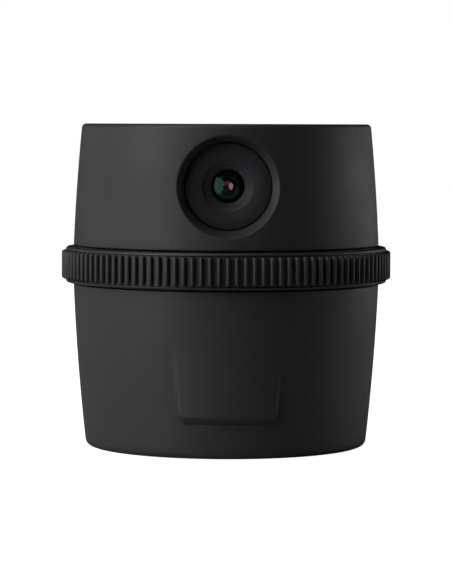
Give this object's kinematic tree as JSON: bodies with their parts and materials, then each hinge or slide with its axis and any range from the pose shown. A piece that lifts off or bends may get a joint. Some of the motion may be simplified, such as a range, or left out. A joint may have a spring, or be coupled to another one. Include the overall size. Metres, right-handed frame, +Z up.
{
  "type": "panning camera",
  "caption": "Small barrel-shaped panning camera with a recessed lens, a knurled lock ring at its waist, a tripod socket and a rubber foot.",
  "frame": {"origin": "centre of the rubber foot's lower face, on the pan axis, where the camera rests on a table or tripod plate", "axes": "+Z up along the pan axis, -Y the way the lens looks, +X to the right as the lens side is faced"},
  "size_m": [0.066, 0.066, 0.0648],
  "materials": {
    "soft_black": "soft-touch black, very fine grain",
    "ring_black": "satin moulded black",
    "rubber": "matt black moulded rubber",
    "dark_plastic": "fine spark-eroded texture",
    "window": "coated clear glass, faint violet reflection",
    "lens_glass": "multi-coated, green and magenta reflections",
    "mask": "printed black",
    "anodised": "black anodised, turned",
    "steel": "bright zinc-plated",
    "brass": "turned",
    "board": "solder mask",
    "chip": "moulded package with bright cells",
    "shield": "tinned sheet",
    "pouch": "laminated foil",
    "flex": "amber film",
    "acetal": "natural moulded",
    "lamp": "milky clear"
  },
  "bodies": {
    "base": {"base_shell": "soft_black", "pivot_deck": "dark_plastic", "thrust_washer": "acetal", "stop_pin": "steel", "deck_screw_1": "steel", "deck_screw_2": "steel", "deck_screw_3": "steel", "base_plate": "dark_plastic", "foot_ring": "rubber", "tripod_insert": "brass", "base_screw_1": "steel", "base_screw_2": "steel", "base_screw_3": "steel", "battery_tray": "dark_plastic", "battery": "pouch", "charge_board": "board", "battery_socket": "acetal", "battery_lead": "flex", "usb_socket": "steel", "harness_socket": "acetal"},
    "jam": {"jam_washer": "dark_plastic"},
    "ring": {"lock_ring": "ring_black", "grip_band": "rubber"},
    "head": {"head_shell": "soft_black", "top_cap": "soft_black", "head_frame": "dark_plastic", "spindle_nut": "steel", "head_screw_1": "steel", "head_screw_2": "steel", "head_screw_3": "steel", "window_glass": "window", "window_mask": "mask", "window_seal": "rubber", "lens_baffle": "anodised", "lens_barrel": "anodised", "front_element": "lens_glass", "middle_element": "lens_glass", "aperture_stop": "mask", "rear_element": "lens_glass", "lens_retainer": "anodised", "lens_holder": "dark_plastic", "ir_filter": "lens_glass", "image_sensor": "chip", "sensor_board": "board", "sensor_screw_1": "steel", "sensor_screw_2": "steel", "ribbon_socket": "acetal", "main_board": "board", "processor_can": "shield", "antenna": "flex", "ribbon_cable": "flex", "harness": "rubber", "button_board": "board", "tact_switch": "dark_plastic", "lamp_chip": "lamp", "light_pipe": "lamp"},
    "button": {"power_button": "dark_plastic", "switch_plunger": "acetal"},
    "cover": {"port_cover": "rubber"}
  },
  "joints": [
    {"name": "head_pan", "type": "hinge", "parent": "base", "child": "head", "pos_m": [0, 0, 0.034], "axis": [0, 0, 1], "range_deg": [-170, 170]},
    {"name": "ring_lift", "type": "slide", "parent": "base", "child": "jam", "axis": [0, 0, 1], "range_m": [0, 0.00026]},
    {"name": "ring_turn", "type": "hinge", "parent": "jam", "child": "ring", "pos_m": [0, 0, 0.0367], "axis": [0, 0, 1], "range_deg": [0, 60]},
    {"name": "power_button_press", "type": "slide", "parent": "head", "child": "button", "axis": [0, 0, -1], "range_m": [0, 0.0005], "stiffness_N_per_m": 3000},
    {"name": "port_cover_swing", "type": "hinge", "parent": "base", "child": "cover", "pos_m": [-0.00635, 0.0288, 0.02305], "axis": [0, 0, 1], "range_deg": [0, 100]}
  ],
  "couplings": [
    {"joint": "ring_lift", "follows": "ring_turn", "m_per_rad": 0.00023873}
  ]
}
